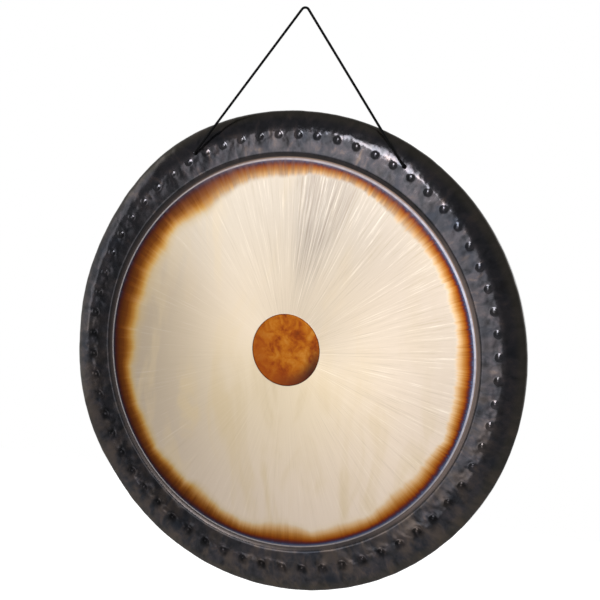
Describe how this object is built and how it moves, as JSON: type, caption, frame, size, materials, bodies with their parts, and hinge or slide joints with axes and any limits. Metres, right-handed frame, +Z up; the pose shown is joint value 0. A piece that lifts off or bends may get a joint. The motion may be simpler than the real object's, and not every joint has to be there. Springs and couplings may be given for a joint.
{
  "type": "tam tam gong",
  "caption": "Large flat hammered metal gong with a turned-back rim, a pale lathed face, a dark border and a raw centre disc, hanging on a cord.",
  "frame": {"origin": "the hook seat: the inside of the cord's crown, where it rests on the hook", "axes": "+Z up, the gong's face looks along -Y, +X to the right of someone who faces it"},
  "size_m": [0.8159, 0.0472, 0.9822],
  "materials": {
    "gong_metal": "satin",
    "cord": "matte"
  },
  "bodies": {
    "crown": {"cord_crown": "cord"},
    "cord_legs": {"cord_leg_left": "cord", "cord_leg_right": "cord"},
    "gong": {"gong_plate": "gong_metal", "left_stop_knot": "cord", "right_stop_knot": "cord", "cord_tail_left": "cord", "cord_tail_right": "cord"}
  },
  "joints": [
    {"name": "cord_swing", "type": "hinge", "parent": "crown", "child": "cord_legs", "pos_m": [0, 0, -0.001], "axis": [1, 0, 0], "range_deg": [-20, 20]},
    {"name": "gong_tilt", "type": "hinge", "parent": "cord_legs", "child": "gong", "pos_m": [0, 0, -0.24546], "axis": [1, 0, 0], "range_deg": [-30, 2]}
  ]
}
